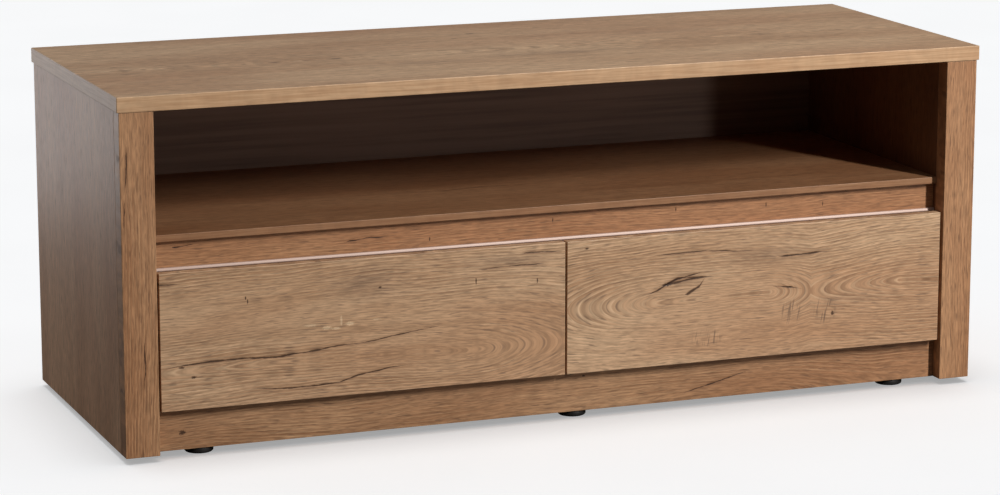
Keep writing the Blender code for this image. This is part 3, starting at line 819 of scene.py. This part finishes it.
def drawer_runner(prefix, wall, side, drawer):
    """Folded angle under the drawer side with its outward track and rear pin."""
    node = prefix + "_drawer_runner"
    low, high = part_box(node)
    bottom, top = low[2], high[2]
    inner = RUNNER_SPACE - TOUCH
    web = inner - RUNNER_SHEET
    outline = runner_profile(wall, side, [
        (web, bottom, 0.0015),
        (TRACK_INNER, bottom, 0.0005),
        (TRACK_INNER, bottom + RUNNER_SHEET, 0.0005),
        (inner, bottom + RUNNER_SHEET, 0.0003),
        (inner, top, 0.0015),
        (TRACK_OUTER, top, 0.0005),
        (TRACK_OUTER, top - RUNNER_SHEET, 0.0005),
        (web, top - RUNNER_SHEET, 0.0005),
    ])
    add_piece(node + "_angle", swept(outline, 1, low[1], high[1]), STEEL, drawer, [node])
    centre = middle_of(prefix + "_rear_roller")
    from_wall = abs(centre.x - wall)
    pin(prefix + "_rear_pin", centre, side * (web - from_wall), side * (REAR_PIN_TIP - from_wall),
        -side, drawer)


# ------------------------------------------------------------------ cam locks and nails
def cam_lock(node, side, body):
    """Die-cast cam with a raised rim and a cross recess; its face looks along X to `side`."""
    low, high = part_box(node)
    centre = middle_of(node)
    radius = (high[2] - low[2]) / 2
    face = high[0] if side > 0 else low[0]
    deep = low[0] if side > 0 else high[0]
    arm, half_width, recess = radius * 0.62, radius * 0.15, 0.0022
    profile = arcs([
        (0.0, deep, 0.0),
        (radius, deep, 0.0002),
        (radius, face - side * 0.0003, 0.0),
        (radius - 0.0005, face, 0.0002),
        (radius - 0.0014, face, 0.0002),
        (radius - 0.0018, face - side * 0.0004, 0.0002),
        (0.0, face - side * 0.0004, 0.0),
    ], 3)
    body_mesh = lathe(profile, "X", (0.0, centre.y, centre.z), 48)
    cam = add_piece(node + "_casting", body_mesh, ZINC, body, [node])
    start, end = face - side * recess, face + side * 0.001
    for label, size in (("tall", (half_width, arm)), ("wide", (arm, half_width))):
        corners = [(centre.y + a * size[0], centre.z + b * size[1])
                   for a, b in ((-1, -1), (1, -1), (1, 1), (-1, 1))]
        tool_mesh = bpy.data.meshes.new("cam_tool")
        tool_bm = swept(corners, 0, start, end)
        bmesh.ops.recalc_face_normals(tool_bm, faces=tool_bm.faces)
        tool_bm.to_mesh(tool_mesh)
        tool_bm.free()
        tool = bpy.data.objects.new("cam_tool_" + label, tool_mesh)
        bpy.context.scene.collection.objects.link(tool)
        cut = cam.modifiers.new(label, "BOOLEAN")
        cut.object = tool
        cut.operation = "DIFFERENCE"
        bpy.context.view_layer.update()
        solid = bpy.data.meshes.new_from_object(
            cam.evaluated_get(bpy.context.evaluated_depsgraph_get()))
        cam.modifiers.remove(cut)
        cam.data = solid
        bpy.data.objects.remove(tool)


NAIL_SPACING = 0.145
NAIL_RADIUS = 0.0024
NAIL_HEAD = 0.0004


def panel_nails():
    """Flat nail heads that hold the back panel to the shelf, divider and base rail."""
    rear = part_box("back_panel")[1][1]
    shelf_low, shelf_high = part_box("media_shelf")
    base_low, base_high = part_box("rear_base_rail")
    shelf_z = (shelf_low[2] + shelf_high[2]) / 2
    base_z = (base_low[2] + base_high[2]) / 2
    places = []
    for k in range(-4, 5):
        places.append((k * NAIL_SPACING, shelf_z))
        places.append((k * NAIL_SPACING, base_z))
    for k in range(1, 4):
        places.append((0.0, base_z + k * (shelf_z - base_z) / 4))
    for number, (x, z) in enumerate(places):
        profile = arcs([(0.0, 0.0, 0.0), (NAIL_RADIUS, 0.0, 0.0),
                        (NAIL_RADIUS, NAIL_HEAD / 2, 0.0),
                        (NAIL_RADIUS * 0.75, NAIL_HEAD, 0.0003), (0.0, NAIL_HEAD, 0.0)], 2)
        bm = lathe(profile, "Z", (0.0, 0.0, 0.0), 20)
        for vert in bm.verts:
            vert.co = Vector((x + vert.co.x, rear + vert.co.z, z + vert.co.y))
        add_piece("panel_nail_" + str(number + 1), bm, PLATED, "cabinet", ())


finger_channel()
for node in list(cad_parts):
    if node.endswith("_foot"):
        foot(node)
    elif node.endswith("_roller"):
        roller(node)
panel_nails()
for drawer in ("left_drawer", "right_drawer"):
    for hand, side in (("left", 1), ("right", -1)):
        prefix = drawer + "_" + hand
        low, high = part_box(prefix + "_cabinet_runner")
        wall = low[0] - TOUCH if side > 0 else high[0] + TOUCH
        cabinet_runner(prefix, wall, side)
        drawer_runner(prefix, wall, side, drawer)
        cam_lock(prefix + "_side_cam_lock", -side, drawer)


# ------------------------------------------------------------------ studio
FLOOR_GLOW = 0.36                      # light that the camera sees the floor give by itself
FLOOR_BOUNCE = srgb(120, 114, 108)     # colour that the floor shows to every other ray
SKY_LOW = 0.01                         # at the horizon, in front
SKY_HIGH = 0.45                        # overhead
BACKDROP = 0.22                        # added behind the cabinet


def studio_floor():
    """Large plain pale floor that throws little light back up."""
    bm = bmesh.new()
    half = 30.0
    corners = [bm.verts.new((x, y, 0.0)) for x, y in
               ((-half, -half), (half, -half), (half, half), (-half, half))]
    bm.faces.new(corners)
    mesh = bpy.data.meshes.new("studio_floor")
    bm.to_mesh(mesh)
    bm.free()
    floor = bpy.data.objects.new("studio_floor", mesh)
    bpy.context.scene.collection.objects.link(floor)
    g = Graph("studio_floor")
    x, y, z = g.coords()
    dust = g.noise(g.vector(x, y, z), 3.0, 2.0, 0.5)
    pale = g.mix(g.ramp(dust, 0.2, 0.8), srgb(245, 246, 247), srgb(242, 243, 244))
    seen = g.node("ShaderNodeLightPath").outputs["Is Camera Ray"]
    colour = g.mix(seen, FLOOR_BOUNCE, pale)
    glow = g.mix(seen, (0.0, 0.0, 0.0, 1.0), (1.0, 1.0, 1.0, 1.0))
    mesh.materials.append(g.shade(colour, 0.9, None, Specular_IOR_Level=0.0))
    shader = next(node for node in g.tree.nodes if node.type == "BSDF_PRINCIPLED")
    g.plug(shader.inputs["Emission Color"], glow)
    shader.inputs["Emission Strength"].default_value = FLOOR_GLOW
    floor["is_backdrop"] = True
    return floor


def studio_world():
    """Soft sky: a bright backdrop and overhead light, and a dark room in front."""
    world = bpy.data.worlds.new("studio_sky")
    world.use_nodes = True
    tree = world.node_tree
    tree.nodes.clear()
    link = tree.links.new

    def ramp(socket, low, high, out_low, out_high):
        made = tree.nodes.new("ShaderNodeMapRange")
        made.interpolation_type = "SMOOTHSTEP"
        made.inputs["From Min"].default_value = low
        made.inputs["From Max"].default_value = high
        made.inputs["To Min"].default_value = out_low
        made.inputs["To Max"].default_value = out_high
        link(socket, made.inputs["Value"])
        return made.outputs["Result"]

    coords = tree.nodes.new("ShaderNodeTexCoord")
    split = tree.nodes.new("ShaderNodeSeparateXYZ")
    link(coords.outputs["Generated"], split.inputs[0])
    overhead = ramp(split.outputs[2], 0.35, 0.95, SKY_LOW, SKY_HIGH)
    behind = ramp(split.outputs[1], 0.10, 0.95, 0.0, BACKDROP)
    total = tree.nodes.new("ShaderNodeMath")
    link(overhead, total.inputs[0])
    link(behind, total.inputs[1])
    sky = tree.nodes.new("ShaderNodeBackground")
    sky.inputs["Color"].default_value = (0.97, 0.98, 1.0, 1.0)
    link(total.outputs[0], sky.inputs["Strength"])
    seen = tree.nodes.new("ShaderNodeBackground")
    seen.inputs["Color"].default_value = srgb(245, 245, 245)
    rays = tree.nodes.new("ShaderNodeLightPath")
    either = tree.nodes.new("ShaderNodeMixShader")
    out = tree.nodes.new("ShaderNodeOutputWorld")
    link(rays.outputs["Is Camera Ray"], either.inputs[0])
    link(sky.outputs[0], either.inputs[1])
    link(seen.outputs[0], either.inputs[2])
    link(either.outputs[0], out.inputs["Surface"])
    bpy.context.scene.world = world


def add_light(name, kind, place, target, power, colour):
    """Light at `place` that shines towards `target`; it doesn't show itself."""
    data = bpy.data.lights.new(name, kind)
    data.energy = power
    data.color = colour
    light = bpy.data.objects.new(name, data)
    bpy.context.scene.collection.objects.link(light)
    light.location = place
    light.rotation_mode = "QUATERNION"
    light.rotation_quaternion = (Vector(target) - Vector(place)).to_track_quat("-Z", "Y")
    light.visible_camera = False
    return light


def add_panel(name, place, target, size, power, colour):
    """Rectangular soft light, `size` wide and high, that leaves the floor alone."""
    panel = add_light(name, "AREA", place, target, power, colour)
    panel.data.shape = "RECTANGLE"
    panel.data.size, panel.data.size_y = size
    light_only(panel, FLOOR, "EXCLUDE")


def aim(azimuth, elevation):
    """Direction towards a light `azimuth` right of the front and `elevation` up, in degrees."""
    a, e = math.radians(azimuth), math.radians(elevation)
    return Vector((math.sin(a) * math.cos(e), -math.cos(a) * math.cos(e), math.sin(e)))


def light_only(light, piece, state):
    """Let `light` reach only `piece` (state INCLUDE), or everything but it (EXCLUDE)."""
    group = bpy.data.collections.new(light.name + "_receivers")
    group.objects.link(piece)
    group.collection_objects[0].light_linking.link_state = state
    light.light_linking.receiver_collection = group


FLOOR = studio_floor()
studio_world()

# Key: a tall narrow panel to the front right, so upright shadow edges are crisp, level ones soft
KEY_TARGET = Vector((0.65, -0.25, 0.40))
KEY_AZIMUTH = 20.3
KEY_WAY = aim(KEY_AZIMUTH, 31.8)
add_panel("key_panel", KEY_TARGET + KEY_WAY * 4.0, KEY_TARGET, (0.20, 1.40), 150.0,
          (1.0, 0.97, 0.93))
# A weak light low in front that reaches the back panel
add_panel("low_fill", KEY_TARGET + aim(KEY_AZIMUTH, 3.0) * 3.6, KEY_TARGET, (0.20, 0.60), 10.5,
          (1.0, 0.96, 0.94))
# Behind the left side, whose upper part mirrors it as a pale sheen
add_panel("side_sheen", Vector((-1.25, 1.40, 0.50)), Vector((-1.25, 0.0, 0.50)),
          (0.90, 0.90), 5.4, (0.97, 0.97, 1.0))

FLOOR_LIGHT = add_light("floor_light", "SUN", (0.0, 0.0, 4.0), (0.0, 0.0, 0.0), 1.1,
                        (1.0, 1.0, 1.0))
FLOOR_LIGHT.data.angle = math.radians(24.0)
light_only(FLOOR_LIGHT, FLOOR, "INCLUDE")

# ------------------------------------------------------------------ sizes
low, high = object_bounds()
